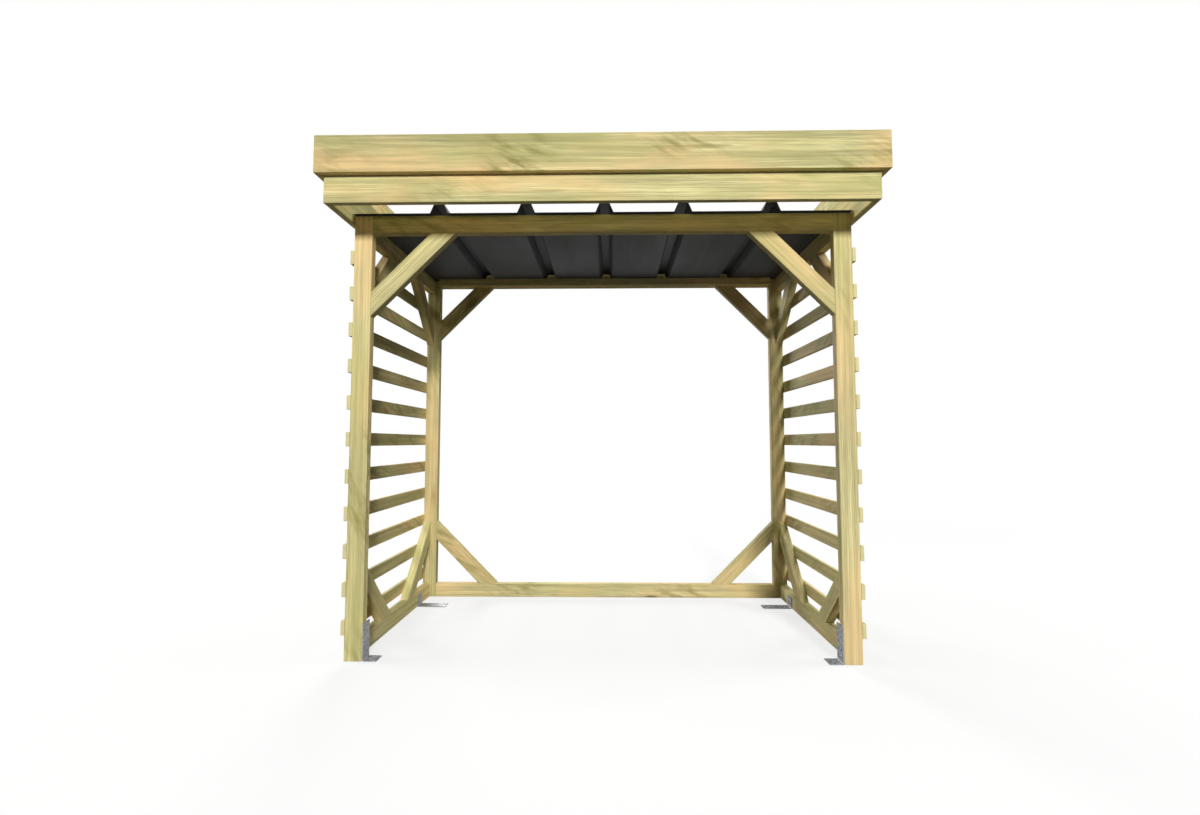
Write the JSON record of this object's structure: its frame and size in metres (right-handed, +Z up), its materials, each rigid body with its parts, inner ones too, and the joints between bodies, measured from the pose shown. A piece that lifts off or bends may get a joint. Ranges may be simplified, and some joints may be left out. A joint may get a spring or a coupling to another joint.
{
  "type": "log store",
  "caption": "Open timber log store: braced four-post frame with slatted sides, open front and back, a ribbed metal roof sheet inside a stepped fascia, and angle brackets at the feet.",
  "frame": {"origin": "on the ground, under the middle of the whole outline", "axes": "+X along the front to the right, +Y from the open front to the open back, +Z up"},
  "size_m": [2.187, 1.296, 2.052],
  "materials": {
    "frame_timber": "sawn, pressure treated",
    "slat_timber": "sawn, pressure treated",
    "fascia_timber": "planed, pressure treated",
    "roof_metal": "satin anthracite coating",
    "zinc_plate": "galvanised"
  },
  "bodies": {
    "root": {"front_post_left": "frame_timber", "front_post_right": "frame_timber", "back_post_left": "frame_timber", "back_post_right": "frame_timber", "front_beam": "frame_timber", "back_beam": "frame_timber", "side_top_rail_left": "frame_timber", "side_top_rail_right": "frame_timber", "side_bottom_rail_left": "frame_timber", "side_bottom_rail_right": "frame_timber", "back_bottom_rail": "frame_timber", "front_brace_left": "frame_timber", "front_brace_right": "frame_timber", "back_top_brace_left": "frame_timber", "back_top_brace_right": "frame_timber", "back_bottom_brace_left": "frame_timber", "back_bottom_brace_right": "frame_timber", "side_front_top_brace_left": "frame_timber", "side_front_top_brace_right": "frame_timber", "side_back_top_brace_left": "frame_timber", "side_back_top_brace_right": "frame_timber", "side_front_bottom_brace_left": "frame_timber", "side_front_bottom_brace_right": "frame_timber", "side_back_bottom_brace_left": "frame_timber", "side_back_bottom_brace_right": "frame_timber", "side_slats_left": "slat_timber", "side_slats_right": "slat_timber", "lower_fascia_front": "fascia_timber", "lower_fascia_back": "fascia_timber", "lower_fascia_left": "fascia_timber", "lower_fascia_right": "fascia_timber", "upper_fascia_front": "fascia_timber", "upper_fascia_back": "fascia_timber", "upper_fascia_left": "fascia_timber", "upper_fascia_right": "fascia_timber", "roof_sheet": "roof_metal", "foot_bracket_front_left": "zinc_plate", "foot_bracket_front_right": "zinc_plate", "foot_bracket_back_left": "zinc_plate", "foot_bracket_back_right": "zinc_plate"}
  },
  "joints": []
}
